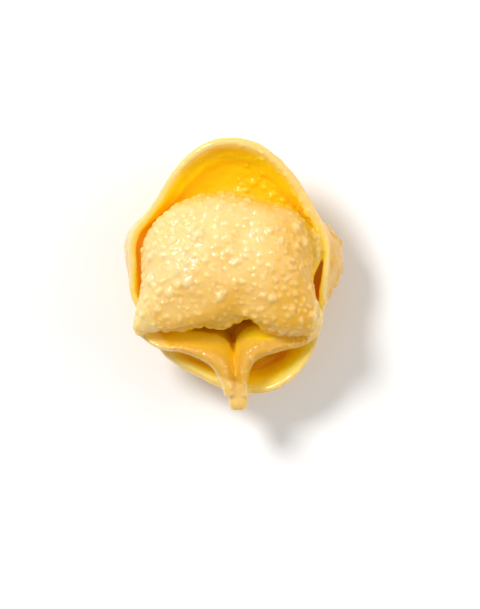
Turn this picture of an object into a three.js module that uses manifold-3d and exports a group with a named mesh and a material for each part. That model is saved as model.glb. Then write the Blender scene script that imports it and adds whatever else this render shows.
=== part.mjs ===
// A single cappelletto, the little-hat pasta: a disc of egg dough folded over its filling and sealed,
// wrapped round and pinched at its two tips, with the sealed edge turned up behind it as a brim.
// It lies on its back. Millimetres: +X right, +Y towards the crown of the brim, +Z out of the belly.
import * as THREE from "three";
import { mergeVertices } from "three/addons/utils/BufferGeometryUtils.js";
import Module from "manifold-3d";

const wasm = await Module();
wasm.setup();
const { lerp, clamp, degToRad, euclideanModulo, smoothstep } = THREE.MathUtils;

// ---- Dough ----
const SEAM = 1.35; // the two sealed layers of the brim
const INNER_LAYER = 0.3; // how much thinner the crown is past the inner layer's cut edge
const LAYER_STEP = { angle: 115, width: 38 }; // where on the brim, in degrees from +X, that edge shows
const STEP_BELOW_EDGE = 2.0; // how far it lies below the brim's own
const STEP_RUN = 0.45; // over how much height it fades
const PRESSED = [
  // where the seam is pressed thinner, and how far below its edge that fades out
  { angle: 186, width: 30, by: 0.4, run: 5 },
  { angle: 4, width: 30, by: 0.35, run: 5 },
  { angle: 312, width: 30, by: 0.55, run: 4 },
];
const CUT_ROUND = 0.3; // rounding at the corners of the brim's own cut edge

// ---- Brim: a cup round the point BRIM_AT. Angles are in degrees from +X. ----
const BRIM_AT = new THREE.Vector2(0.2, 0.8);
const FOOT_RADIUS = 5.5; // the flat spot it lies on
const BRIM_REACH = 13.75; // from BRIM_AT to its outline, before these swells
const CROWN = { angle: 93, width: 35, swell: 4.05 };
const CHIN = { angle: 285, width: 36, swell: 3.8 };
const CHEEKS = [
  { angle: 14, width: 19, swell: 1.1 },
  { angle: 164, width: 17, swell: 1.6 },
  { angle: 194, width: 13, swell: 1.2 },
  { angle: 229, width: 21, swell: 1.3 },
];
const BRIM_HEIGHT = 12.5; // of the cut edge, before these rises
const BRIM_RISES = [
  { angle: 90, width: 55, rise: 3 }, // the crown
  { angle: 236, width: 38, rise: -4.2 }, // under the left cheek
  { angle: 292, width: 30, rise: -2.4 }, // under the right one
];
const WIDEST_AT = 0.55; // share of the edge's height at which the curled wall is widest
const FLARE = 2.6; // how far the wall leans out where the brim is open
const LEFT_CURL = { angle: 170, width: 34, reach: 0.8 }; // how far the edge curls in over the belly
const RIGHT_CURL = { angle: 4, width: 32, reach: 2.1 };

// ---- Belly: the filled pocket ----
const BELLY_MIDDLE = new THREE.Vector2(-0.2, 0.6);
const BELLY_OUTLINE = [
  // x, y seen from the front, anticlockwise: right side and arch, left side, left corner
  [10.4, 2], [10.1, 5], [8.7, 8.2], [4.4, 10], [-1.2, 11.1], [-6.6, 10], [-10.3, 7.2],
  [-12.3, 3.5], [-12.3, -1], [-13.1, -5], [-13.4, -7.6], [-12.8, -8.4],
  // the lip with its notch, right corner
  [-11.1, -7.7], [-6.5, -7.6], [-4.2, -7], [-1.7, -7.5], [1, -6.3], [2.5, -6.1], [4.4, -7.7],
  [10.5, -8.1], [11.8, -7.2], [11.3, -4], [10.6, -0.5],
];
const BELLY_FLOOR = 0.8; // height at which it grows out of the back
const BELLY_RIM = 13.2; // height of its outline
const LIP_RISE = { x: 0.5, y: -7.2, reach: 7, height: 1.2 }; // how much higher it runs along the lower lip
const CORNER_DIPS = [
  { x: -13.1, y: -8, reach: 3, depth: 0.9 }, // and lower at the two corners
  { x: 11.7, y: -7.6, reach: 3, depth: 0.9 },
];
const BELLY_TOP = 20; // height of the fullest point
const BELLY_SQUARENESS = 2.44; // powers that shape the pillow between them
const BELLY_ROUNDNESS = 0.42;
const EVENED_OVER = 0.6; // radians over which its corners are rounded off further in
const CORNERS_FROM = 3; // how late they are: a power of the share of the way out
const OVERHANG = 1.2; // how far it leans out over the brim per unit of height
const SIDE_TUCK = 0.9; // how far the wall turns in under the outline
const LIP_TUCK = { angle: 270, width: 56, depth: 3.2 }; // and under the lower lip
const CHEEK = { angle: 15, width: 17, bulge: 2.3, power: 2.2 }; // out to the brim, and how high up
const SWELLS = [
  // lumps and dents of the filling
  { x: -5.2, y: 0.8, reach: 3.6, height: 0.7 },
  { x: 4.8, y: 1.5, reach: 4, height: 0.45 },
  { x: 1.4, y: 5.2, reach: 2, height: -0.5 },
  { x: 1.2, y: -4.8, reach: 2.4, height: -0.7 },
  { x: -8.5, y: -5.5, reach: 2.6, height: -0.2 },
  { x: 8.8, y: -5.2, reach: 2.6, height: -0.35 },
];

// ---- Tips: the two folded ends, from the belly's corners to the pinch ----
// A row has the fold's outer edge x, y, its inner edge x, y, and the heights of its crest and inner edge.
const LEFT_TIP = [
  [-12.95, -8.2, -12.0, -7.6, 12.2, 11.9],
  [-10.4, -10.0, -9.9, -9.0, 12.9, 12.4],
  [-6.2, -10.8, -6.0, -9.0, 14.0, 13.3],
  [-2.9, -12.6, -1.2, -10.1, 14.6, 13.0],
  [-1.7, -14.7, 0.25, -13.1, 14.3, 12.8],
  [-1.15, -16.5, 0.8, -16.35, 13.4, 12.6],
];
const RIGHT_TIP = [
  [11.6, -8.05, 10.7, -7.6, 12.2, 11.9],
  [9.6, -9.6, 9.2, -8.4, 13.1, 12.7],
  [6.2, -10.5, 5.4, -8.0, 14.1, 13.4],
  [2.9, -11.8, 1.2, -9.2, 14.7, 13.3],
  [1.95, -14.2, 0.4, -13.3, 14.5, 13.1],
  [2.05, -16.6, 0.9, -16.5, 13.4, 12.6],
];
const TIP_ROOT = 1.2; // height at which the tips grow out of the back
const PINCH_BASE = 8.5; // height of their underside where they pass over the brim
const FOLD_CREST = 0.3; // share of the fold's width at which it is highest
const FOLD_SHOULDER = 0.9; // how far its rounded outer edge lies below the crest
const INNER_DROP = 0.9; // the least height of the inner side under its edge
const INNER_LEAN = 0.5; // how far that side leans in
const OUTER_LEAN = 0.3; // and how far the outer side does
const VALLEY_REACH = 2.6; // how far the inner sides reach to meet in the finger hole

// ---- Foot: the pressed end of the pinch, hanging over the brim ----
const FOOT_START = new THREE.Vector3(0.7, -15.2, 11.1); // its middle where it leaves the tips
const FOOT_END = new THREE.Vector3(0.72, -18.5, 10.8);
const FOOT_HALF_WIDTH = 1.38;
const FOOT_HALF_HEIGHT = 1.95;
const FOOT_SQUARENESS = 0.6; // power that shapes its section, 1 for an ellipse
const FOOT_END_SIZE = 0.45; // share of that section at its rounded end

// ---- Finger hole: pressed shut half way down, with a navel behind ----
const PLUG_HALF_LENGTH = 10.5; // at the back
const PLUG_HALF_WIDTH = 7;
const PLUG_SHOULDER = 5.2; // height up to which it fills the cup
const PLUG_TOP = 8.6;
const PLUG_TOP_RADIUS = 2.8;
const PLUG_LOWER = 0.9; // how far its middle lies below the navel's
const NAVEL_AT = new THREE.Vector2(0.6, -6.5);
const NAVEL_DEPTH = 4.5;
const NAVEL_HALF_LENGTH = 4.2;
const NAVEL_HALF_WIDTH = 2.4;
const NAVEL_BOTTOM = { length: 0.25, width: 0.15 }; // shares of those at its bottom

// ---- Collar: the dough that slopes from the brim's wall down to the seam round the belly ----
const COLLAR_AT = { angle: 108, width: 110 }; // it fades out towards the lip
const COLLAR_FLOOR = 1.5; // its height there
const COLLAR_SEAM = 9.8; // height of the seam at the hood
const COLLAR_BELOW_EDGE = 2.8; // where it starts on the brim's wall
const COLLAR_SLOPE = [
  // distance from the brim's wall and share of the way up it
  [0, 1],
  [1, 0.57],
  [2.2, 0.23],
  [3.6, 0],
];

// ---- How deep the pieces are sunk in the cup's wall, each its own depth so that no two walls touch ----
const BELLY_SUNK = 0.5;
const PLUG_SUNK = 0.8;
const TIP_SUNK = 0.95;
const COLLAR_SUNK = 0.65;

// ---- Blisters big enough to stand out of the belly ----
const BLISTERS = 46;
const BLISTER_RADIUS = { smallest: 0.42, largest: 0.95 };
const BLISTER_HEIGHT = 0.45; // as a share of its radius
const BLISTER_SPACING = 1.9; // least distance between two middles
const BLISTERS_END = 0.95; // share of the way from the belly's middle to its outline
const BLISTERS_SEED = 11;

/** 1 at the angle of a feature and 0 away from it; all in degrees. */
function lobe(angle, at) {
  const off = euclideanModulo(angle - at.angle + 180, 360) - 180;
  return Math.exp(-((off / at.width) ** 2));
}

/** 1 at the spot of a feature and 0 beyond its reach. */
function near(point, at) {
  return Math.exp(-((point.x - at.x) ** 2 + (point.y - at.y) ** 2) / at.reach ** 2);
}

/** Seeded draws from 0 to 1, the same on every run. */
function draws(seed) {
  let state = seed;
  return () => {
    state = (Math.imul(state, 1664525) + 1013904223) >>> 0;
    return state / 2 ** 32;
  };
}

/** A closed skin over rings of equal count that run anticlockwise; its ends close to their middles. */
function skin(rings) {
  const count = rings[0].length;
  const points = rings.flat();
  const faces = [];
  for (let r = 0; r + 1 < rings.length; r++)
    for (let k = 0; k < count; k++) {
      const [a, b] = [r * count + k, r * count + ((k + 1) % count)];
      faces.push(a, b, b + count, a, b + count, a + count);
    }
  for (const [ring, start, flip] of [
    [rings[0], 0, true],
    [rings.at(-1), (rings.length - 1) * count, false],
  ]) {
    const middle = ring.reduce((sum, p) => sum.add(p), new THREE.Vector3()).divideScalar(count);
    const centre = points.push(middle) - 1;
    for (let k = 0; k < count; k++) {
      const edge = [start + k, start + ((k + 1) % count)];
      faces.push(centre, ...(flip ? edge.reverse() : edge));
    }
  }
  return new THREE.BufferGeometry().setFromPoints(points).setIndex(faces);
}

function solidOf(geometry) {
  const bare = new THREE.BufferGeometry()
    .setAttribute("position", geometry.getAttribute("position"))
    .setIndex(geometry.index);
  const merged = mergeVertices(bare, 1e-4);
  const solid = new wasm.Manifold(
    new wasm.Mesh({
      numProp: 3,
      vertProperties: merged.attributes.position.array,
      triVerts: new Uint32Array(merged.index.array),
    }),
  );
  if (solid.volume() <= 0) throw new Error("a piece is inside out");
  return solid;
}

function geometryOf(solid) {
  const mesh = solid.getMesh();
  const geometry = new THREE.BufferGeometry();
  geometry.setAttribute("position", new THREE.BufferAttribute(mesh.vertProperties, 3));
  geometry.setIndex(new THREE.BufferAttribute(mesh.triVerts, 1));
  geometry.computeVertexNormals();
  return geometry;
}

/** The brim's wall at one angle, as its widest point and its cut edge. */
function brimAt(angle) {
  const left = lobe(angle, LEFT_CURL);
  const right = lobe(angle, RIGHT_CURL);
  const swell = [CROWN, CHIN, ...CHEEKS].reduce((sum, at) => sum + at.swell * lobe(angle, at), 0);
  const reach = BRIM_REACH + swell;
  const rise = BRIM_RISES.reduce((sum, at) => sum + at.rise * lobe(angle, at), 0);
  const edgeHeight = BRIM_HEIGHT + rise;
  return {
    wall: reach - FLARE * clamp(1 - left - right, 0, 1),
    wallHeight: WIDEST_AT * edgeHeight,
    edge: reach - LEFT_CURL.reach * left - RIGHT_CURL.reach * right,
    edgeHeight,
  };
}

/** The outer side of the brim's wall from the flat spot to its cut edge, as radius and height. */
function brimOutside(angle) {
  const TURNS = [0, 0.22, 0.44, 0.64, 0.82]; // shares of the round from the flat spot to the wall
  const { wall, wallHeight, edge, edgeHeight } = brimAt(angle);
  const line = TURNS.map((share) => {
    const turn = share * (Math.PI / 2);
    return new THREE.Vector2(
      lerp(FOOT_RADIUS, wall, Math.sin(turn)),
      wallHeight * (1 - Math.cos(turn)),
    );
  });
  const stepFoot = edgeHeight - STEP_BELOW_EDGE - STEP_RUN;
  const heights = [
    ...[0, 0.5, 1].map((t) => lerp(wallHeight, stepFoot, t)),
    ...[STEP_BELOW_EDGE, 0.5 * STEP_BELOW_EDGE, 0].map((below) => edgeHeight - below),
  ];
  for (const height of heights) {
    const t = (height - wallHeight) / (edgeHeight - wallHeight);
    line.push(new THREE.Vector2(lerp(wall, edge, t * t), height));
  }
  return line;
}

/** The inner side, set in from the outer one by the thickness of the dough. */
function brimInside(angle) {
  const outside = brimOutside(angle);
  return outside.map((p, i) => {
    const along = outside[Math.min(i + 1, outside.length - 1)]
      .clone()
      .sub(outside[Math.max(i - 1, 0)])
      .normalize();
    const below = outside.at(-1).y - p.y;
    const layer = 1 - smoothstep(below, STEP_BELOW_EDGE, STEP_BELOW_EDGE + STEP_RUN);
    const pressed = PRESSED.reduce(
      (sum, at) => sum + at.by * lobe(angle, at) * (1 - smoothstep(below, 0, at.run)),
      0,
    );
    const thinner = INNER_LAYER * lobe(angle, LAYER_STEP) * layer + pressed;
    return new THREE.Vector2(-along.y, along.x).multiplyScalar(SEAM - thinner).add(p);
  });
}

/** The point, or where it lies outside the cup, the spot beside it sunk that far in the cup's wall. */
function keptInCup(point, sunk) {
  const out = new THREE.Vector2(point.x, point.y).sub(BRIM_AT);
  const line = brimOutside((out.angle() * 180) / Math.PI);
  const above = line.findIndex((p) => p.y > point.z);
  const edge = line.at(-1);
  const [low, high] = above > 0 ? [line[above - 1], line[above]] : [edge, edge];
  const along = above > 0 ? (point.z - low.y) / (high.y - low.y) : 0;
  const overhang = above > 0 ? 0 : OVERHANG * Math.max(0, point.z - edge.y);
  out.clampLength(0, lerp(low.x, high.x, along) - SEAM + sunk + overhang).add(BRIM_AT);
  return new THREE.Vector3(out.x, out.y, point.z);
}

/** A point of the brim's profile, set out round the compass. */
function onBrim({ x: radius, y: height }, angle) {
  const turn = degToRad(angle);
  return new THREE.Vector3(
    BRIM_AT.x + radius * Math.cos(turn),
    BRIM_AT.y + radius * Math.sin(turn),
    height,
  );
}

/** The brim and the back as one thick cup. */
function brim() {
  const ANGLES = 72;
  const profiles = Array.from({ length: ANGLES }, (_, k) => {
    const angle = (k / ANGLES) * 360;
    const [outside, inside] = [brimOutside(angle), brimInside(angle)];
    const [outer, inner] = [outside.pop(), inside.pop()];
    const across = inner.clone().sub(outer).setLength(CUT_ROUND);
    const down = new THREE.Vector2(-across.y, across.x);
    const cut = [
      outer.clone().add(down),
      outer.clone().add(across),
      inner.clone().sub(across),
      inner.clone().add(down),
    ];
    return [...outside, ...cut, ...inside.reverse()].map((p) => onBrim(p, angle));
  });
  return skin(profiles[0].map((_, r) => profiles.map((profile) => profile[r])));
}

const outline = new THREE.CatmullRomCurve3(
  BELLY_OUTLINE.map(([x, y]) => new THREE.Vector3(x, y, 0)),
  true,
  "centripetal",
)
  .getSpacedPoints(72)
  .slice(1)
  .map((p) => new THREE.Vector2(p.x, p.y).sub(BELLY_MIDDLE));

/** The reach of the outline at a point, evened out with its neighbours' over that many radians. */
function evenedReach(p, over) {
  if (over === 0) return p.length();
  const weights = outline.map((q) => Math.exp(-((p.angleTo(q) / over) ** 2)));
  const total = outline.reduce((sum, q, k) => sum + weights[k] * q.length(), 0);
  return total / weights.reduce((sum, w) => sum + w, 0);
}

/** A ring of the belly's front, from its middle at share 0 to its outline at share 1. */
function bellyRing(share) {
  const over = EVENED_OVER * (1 - share ** CORNERS_FROM);
  return outline.map((p) => p.clone().setLength(share * evenedReach(p, over)).add(BELLY_MIDDLE));
}

/** The share of the ring that runs through a point. */
function bellyShare(at) {
  const ray = new THREE.Vector2(at.x, at.y).sub(BELLY_MIDDLE);
  const outside = (share) => {
    const ring = bellyRing(share).map((p) => p.sub(BELLY_MIDDLE));
    const k = ring.findIndex((a, i) => {
      const b = ring[(i + 1) % ring.length];
      return a.cross(ray) >= 0 && ray.cross(b) > 0 && a.dot(ray) > 0;
    });
    const [a, b] = [ring[k], ring[(k + 1) % ring.length]];
    return ray.cross(b.clone().sub(a)) > a.cross(b);
  };
  let [low, high] = [0, 1];
  for (let i = 0; i < 12; i++) {
    const middle = (low + high) / 2;
    if (outside(middle)) low = middle;
    else high = middle;
  }
  return high;
}

/** Height of the belly's outline: higher along the lip, lower where its corners are pinched. */
function bellyRim(at) {
  const dip = CORNER_DIPS.reduce((sum, corner) => sum + corner.depth * near(at, corner), 0);
  return BELLY_RIM + LIP_RISE.height * near(at, LIP_RISE) - dip;
}

/** Height of the belly's front over a point on the ring of that share. */
function bellyHeight(at, share) {
  const rise = (1 - share ** BELLY_SQUARENESS) ** BELLY_ROUNDNESS;
  const swell = SWELLS.reduce((sum, lump) => sum + lump.height * near(at, lump), 0);
  return lerp(bellyRim(at), BELLY_TOP, rise) + swell * rise;
}

/** The filled pocket: a pillow over its outline, turned back under itself along its lower lip. */
function belly() {
  const BACK = [0, 0.25, 0.5, 0.7, 0.86]; // shares of the way up to the outline
  const FRONT = 15;
  const [BACK_ROUND, FRONT_SPACING] = [1.3, 0.82]; // powers that set how the rings crowd
  const rings = BACK.map((t) =>
    outline.map((edge) => {
      const out = edge.clone();
      const angle = (out.angle() * 180) / Math.PI;
      const tuck = lerp(SIDE_TUCK, LIP_TUCK.depth, lobe(angle, LIP_TUCK));
      const cheek = CHEEK.bulge * lobe(angle, CHEEK) * Math.sin(Math.PI * t ** CHEEK.power);
      out.setLength(out.length() - tuck * smoothstep(1 - t, 0, 0.65) + cheek);
      const at = out.add(BELLY_MIDDLE);
      const height = lerp(BELLY_FLOOR, bellyRim(at), 1 - (1 - t) ** BACK_ROUND);
      return keptInCup(new THREE.Vector3(at.x, at.y, height), BELLY_SUNK);
    }),
  );
  for (let r = 0; r < FRONT; r++) {
    const share = Math.cos((r / FRONT) * (Math.PI / 2)) ** FRONT_SPACING;
    rings.push(
      bellyRing(share).map((at) => new THREE.Vector3(at.x, at.y, bellyHeight(at, share))),
    );
  }
  return skin(rings);
}

/** One folded tip: a ridge with a round fold, upright outside and sloping in to the finger hole. */
function tip(rows, side) {
  const STEPS = 16;
  const SHARES = [0, 0.06, 0.16, FOLD_CREST, 0.55, 0.8, 1]; // across the fold
  const run = (at) => new THREE.CatmullRomCurve3(rows.map(at));
  const outer = run(([x, y, , , crest]) => new THREE.Vector3(x, y, crest));
  const inner = run(([, , x, y, , edge]) => new THREE.Vector3(x, y, edge));
  const rings = [];
  for (let i = 0; i <= STEPS; i++) {
    const t = i / STEPS;
    const from = outer.getPoint(t);
    const across = inner.getPoint(t).sub(from);
    const drop = -across.z;
    const width = across.setZ(0).length();
    const inward = across.clone().normalize();
    const base = lerp(TIP_ROOT, PINCH_BASE, smoothstep(t, 0.5, 0.95)) - from.z;
    const valley = VALLEY_REACH * smoothstep(t, -0.3, 0.3) * (1 - smoothstep(t, 0.5, 0.75));
    const fold = SHARES.map((share) => {
      const off = (share - FOLD_CREST) / (share < FOLD_CREST ? -FOLD_CREST : 1 - FOLD_CREST);
      return [share * width, share < FOLD_CREST ? -FOLD_SHOULDER * off ** 2.5 : -drop * off ** 2];
    });
    const outside = [
      [OUTER_LEAN, base],
      [0.4 * OUTER_LEAN, 0.5 * base],
    ];
    const inside = [
      [width + 0.7 * INNER_LEAN + 0.4 * valley, -drop - INNER_DROP],
      [width + 0.8 * INNER_LEAN + valley, 0.5 * (base - INNER_LEAN)],
      [width + INNER_LEAN + valley, base],
    ];
    const place = ([n, z]) => from.clone().addScaledVector(inward, n).setZ(from.z + z);
    const sunk = (pair) => keptInCup(place(pair), TIP_SUNK);
    const ring = [...outside.map(sunk), ...fold.map(place), ...inside.map(sunk)];
    rings.push(side > 0 ? ring.reverse() : ring);
  }
  return skin(rings);
}

/** The flat end of the pinch: a rounded bar that closes at its end. */
function foot() {
  const ANGLES = 14;
  const square = (v) => Math.sign(v) * Math.abs(v) ** FOOT_SQUARENESS;
  return skin(
    [0, 0.35, 0.65, 0.85, 0.95, 1].map((t) => {
      const middle = FOOT_START.clone().lerp(FOOT_END, t);
      const full = lerp(FOOT_END_SIZE, 1, (1 - t ** 6) ** 0.5);
      return Array.from({ length: ANGLES }, (_, k) => {
        const turn = (k / ANGLES) * 2 * Math.PI;
        return new THREE.Vector3(
          middle.x + FOOT_HALF_WIDTH * full * square(Math.cos(turn)),
          middle.y,
          middle.z + FOOT_HALF_HEIGHT * full * square(Math.sin(turn)),
        );
      });
    }),
  );
}

/** The pressed dough that closes the finger hole and joins the tips to the back. */
function plug() {
  const ANGLES = 20;
  const LAYERS = 5;
  const rings = [];
  for (let r = 0; r <= LAYERS; r++) {
    const top = r === LAYERS;
    const height = top ? PLUG_TOP : lerp(BELLY_FLOOR, PLUG_SHOULDER, (r / (LAYERS - 1)) ** 1.5);
    rings.push(
      Array.from({ length: ANGLES }, (_, k) => {
        const turn = (k / ANGLES) * 2 * Math.PI;
        const x = NAVEL_AT.x + (top ? PLUG_TOP_RADIUS : PLUG_HALF_LENGTH) * Math.cos(turn);
        const y = NAVEL_AT.y + (top ? PLUG_TOP_RADIUS : PLUG_HALF_WIDTH) * Math.sin(turn);
        return keptInCup(new THREE.Vector3(x, y - PLUG_LOWER, height), PLUG_SUNK);
      }),
    );
  }
  return skin(rings);
}

/** The ring of dough that fills the cup up to the seam, all round the belly but for its lip. */
function collar() {
  const ANGLES = 45;
  const LAYERS = 5;
  const columns = Array.from({ length: ANGLES }, (_, k) => {
    const angle = (k / ANGLES) * 360;
    const full = 1 - (1 - lobe(angle, COLLAR_AT)) ** 4;
    const seam = lerp(COLLAR_FLOOR, COLLAR_SEAM, full);
    const start = lerp(COLLAR_FLOOR, brimAt(angle).edgeHeight - COLLAR_BELOW_EDGE, full);
    const place = (inset, height) => {
      const wall = keptInCup(onBrim({ x: 2 * BRIM_REACH, y: height }, angle), COLLAR_SUNK);
      const out = new THREE.Vector2(wall.x, wall.y).sub(BRIM_AT);
      out.setLength(out.length() - inset).add(BRIM_AT);
      return new THREE.Vector3(out.x, out.y, height);
    };
    const wall = Array.from({ length: LAYERS }, (_, r) =>
      place(0, lerp(BELLY_FLOOR, start, (r / LAYERS) ** 1.5)),
    );
    return [...wall, ...COLLAR_SLOPE.map(([inset, up]) => place(inset, lerp(seam, start, up)))];
  });
  return skin(columns[0].map((_, r) => columns.map((column) => column[r])));
}

/** What the closed finger hole leaves in the back: a long dimple that flares into the flat spot. */
function navel() {
  const ANGLES = 24;
  const DEPTHS = [-0.3, 0, 0.15, 0.4, 0.7, 0.9, 1]; // shares of its depth, from below the back
  return skin(
    DEPTHS.map((share) => {
      const open = (1 - Math.max(share, -0.1)) ** 2;
      return Array.from({ length: ANGLES }, (_, k) => {
        const turn = (k / ANGLES) * 2 * Math.PI;
        return new THREE.Vector3(
          NAVEL_AT.x + Math.cos(turn) * NAVEL_HALF_LENGTH * lerp(NAVEL_BOTTOM.length, 1, open),
          NAVEL_AT.y + Math.sin(turn) * NAVEL_HALF_WIDTH * lerp(NAVEL_BOTTOM.width, 1, open),
          share * NAVEL_DEPTH,
        );
      });
    }),
  );
}

/** A low dome on a surface, half sunk in it. */
function blister(at, normal, radius) {
  return new THREE.SphereGeometry(radius, 6, 4)
    .scale(1, BLISTER_HEIGHT, 1)
    .applyQuaternion(new THREE.Quaternion().setFromUnitVectors(THREE.Object3D.DEFAULT_UP, normal))
    .translate(...at);
}

/** Domes scattered over the belly's front, mostly small ones. */
function bellyBlisters() {
  const draw = draws(BLISTERS_SEED);
  const NEXT = 0.2; // how far the surface's slope is measured over
  const over = (x, y) => {
    const at = new THREE.Vector3(x, y, 0);
    return at.setZ(bellyHeight(at, bellyShare(at)));
  };
  const domes = [];
  const middles = [];
  while (domes.length < BLISTERS) {
    const x = lerp(-BRIM_REACH, BRIM_REACH, draw());
    const y = lerp(-BRIM_REACH, BRIM_REACH, draw());
    const radius = lerp(BLISTER_RADIUS.smallest, BLISTER_RADIUS.largest, draw() ** 3);
    const at = over(x, y);
    const crowded = middles.some((other) => other.distanceTo(at) < BLISTER_SPACING);
    if (crowded || bellyShare(at) > BLISTERS_END) continue;
    const [right, up] = [over(x + NEXT, y), over(x, y + NEXT)].map((p) => p.sub(at));
    middles.push(at);
    domes.push(blister(at, right.cross(up).normalize(), radius));
  }
  return domes;
}

function cappelletto() {
  const tips = [tip(LEFT_TIP, 1), tip(RIGHT_TIP, -1), foot()];
  const pieces = [brim(), collar(), belly(), plug(), ...tips, ...bellyBlisters()];
  const dough = wasm.Manifold.union(pieces.map(solidOf));
  const geometry = geometryOf(dough.subtract(solidOf(navel())));
  // The origin is the middle of what it lies on.
  geometry.computeBoundingBox();
  const middle = geometry.boundingBox.getCenter(new THREE.Vector3());
  geometry.translate(-middle.x, -middle.y, -geometry.boundingBox.min.z);
  const egg_dough = new THREE.MeshStandardMaterial({
    color: new THREE.Color(0.95, 0.74, 0.36),
    roughness: 0.45,
    metalness: 0,
  });
  const mesh = new THREE.Mesh(geometry, egg_dough);
  mesh.name = "cappelletto";
  return mesh;
}

const root = new THREE.Group();
root.add(cappelletto());
export default root;
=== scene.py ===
"""A cooked cappelletto, the little-hat pasta, with moist, blistered egg dough, and a pale studio for it.

The dough is modelled in millimetres as its solid is: a cup for the brim, a collar, a pillow for the
belly, two folded tips, their pressed foot and the plug of the finger hole. Each is a circle extruded
ring by ring. They are remeshed to one skin, whose blisters are then raised with Displace modifiers.
"""

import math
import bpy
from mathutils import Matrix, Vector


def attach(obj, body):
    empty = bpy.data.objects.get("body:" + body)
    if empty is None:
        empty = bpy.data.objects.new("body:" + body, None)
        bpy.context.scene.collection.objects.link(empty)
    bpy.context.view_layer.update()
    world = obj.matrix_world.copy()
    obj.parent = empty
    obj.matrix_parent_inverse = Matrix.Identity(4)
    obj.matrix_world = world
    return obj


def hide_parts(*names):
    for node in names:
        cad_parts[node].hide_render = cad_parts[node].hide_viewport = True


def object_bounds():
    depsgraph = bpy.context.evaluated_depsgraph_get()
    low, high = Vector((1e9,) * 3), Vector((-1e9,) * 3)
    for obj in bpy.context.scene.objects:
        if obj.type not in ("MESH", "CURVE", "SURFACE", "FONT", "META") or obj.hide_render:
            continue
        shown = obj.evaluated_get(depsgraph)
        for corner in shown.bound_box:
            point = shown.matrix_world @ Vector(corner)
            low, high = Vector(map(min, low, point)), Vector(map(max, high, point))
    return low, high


bl_info = {
    "name": "Cappelletto",
    "version": (1, 0, 0),
    "blender": (4, 5, 0),
    "location": "3D View > Sidebar > Cappelletto",
    "description": "Models one cooked cappelletto and lights it on a pale floor",
    "category": "Object",
}

import bpy
import numpy as np
from mathutils import Vector, noise
from mathutils.bvhtree import BVHTree
from mathutils.kdtree import KDTree

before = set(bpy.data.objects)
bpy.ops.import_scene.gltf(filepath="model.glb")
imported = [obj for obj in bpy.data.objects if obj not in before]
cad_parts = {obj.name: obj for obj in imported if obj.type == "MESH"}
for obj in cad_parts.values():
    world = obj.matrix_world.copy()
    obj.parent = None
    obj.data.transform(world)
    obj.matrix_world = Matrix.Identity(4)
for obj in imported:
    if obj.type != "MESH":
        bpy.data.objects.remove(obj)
CAD_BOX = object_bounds()
NODE = "cappelletto"

MM = 0.001
MIDDLE = (0.00079, -0.05203)  # of the whole outline, in the millimetres that follow

# ---- Dough ----
SEAM = 1.35  # the two sealed layers of the brim
INNER_LAYER = 0.3  # how much thinner the crown is past the inner layer's cut edge
LAYER_STEP = {"angle": 115, "width": 38}  # where on the brim that edge shows
STEP_BELOW_EDGE = 2.0
STEP_RUN = 0.3
PRESSED = [
    # where the seam is pressed thinner, and how far below its edge that fades out
    {"angle": 186, "width": 30, "by": 0.4, "run": 5},
    {"angle": 4, "width": 30, "by": 0.35, "run": 5},
    {"angle": 312, "width": 30, "by": 0.55, "run": 4},
]
CUT_ROUND = 0.3

# ---- Brim: a cup round the point BRIM_AT, with angles in degrees from +X ----
BRIM_AT = np.array([0.2, 0.8])
FOOT_RADIUS = 5.5
BRIM_REACH = 13.75
CROWN = {"angle": 93, "width": 35, "swell": 4.05}
CHIN = {"angle": 285, "width": 36, "swell": 3.8}
CHEEKS = [
    {"angle": 14, "width": 19, "swell": 1.1},
    {"angle": 164, "width": 17, "swell": 1.6},
    {"angle": 194, "width": 13, "swell": 1.2},
    {"angle": 229, "width": 21, "swell": 1.3},
]
BRIM_HEIGHT = 12.5
BRIM_RISES = [
    {"angle": 90, "width": 55, "rise": 3},
    {"angle": 236, "width": 38, "rise": -4.2},
    {"angle": 292, "width": 30, "rise": -2.4},
]
WIDEST_AT = 0.55
FLARE = 2.6
LEFT_CURL = {"angle": 170, "width": 34, "reach": 0.8}
RIGHT_CURL = {"angle": 4, "width": 32, "reach": 2.1}

# ---- Belly: the filled pocket ----
BELLY_MIDDLE = np.array([-0.2, 0.6])
BELLY_OUTLINE = [
    # right side and arch, left side, left corner
    (10.4, 2), (10.1, 5), (8.7, 8.2), (4.4, 10), (-1.2, 11.1), (-6.6, 10), (-10.3, 7.2),
    (-12.3, 3.5), (-12.3, -1), (-13.1, -5), (-13.4, -7.6), (-12.8, -8.4),
    # the lip with its notch, right corner
    (-11.1, -7.7), (-6.5, -7.6), (-4.2, -7), (-1.7, -7.5), (1, -6.3), (2.5, -6.1), (4.4, -7.7),
    (10.5, -8.1), (11.8, -7.2), (11.3, -4), (10.6, -0.5),
]
BELLY_FLOOR = 0.8
BELLY_RIM = 13.2
LIP_RISE = {"x": 0.5, "y": -7.2, "reach": 7, "height": 1.2}
CORNER_DIPS = [
    {"x": -13.1, "y": -8, "reach": 3, "height": -0.9},
    {"x": 11.7, "y": -7.6, "reach": 3, "height": -0.9},
]
BELLY_TOP = 20
BELLY_SQUARENESS = 2.44
BELLY_ROUNDNESS = 0.42
EVENED_OVER = 0.6
CORNERS_FROM = 3
OVERHANG = 1.2
SIDE_TUCK = 0.9
LIP_TUCK = {"angle": 270, "width": 56, "depth": 3.2}
CHEEK = {"angle": 15, "width": 17, "bulge": 2.3, "power": 2.2}
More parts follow.
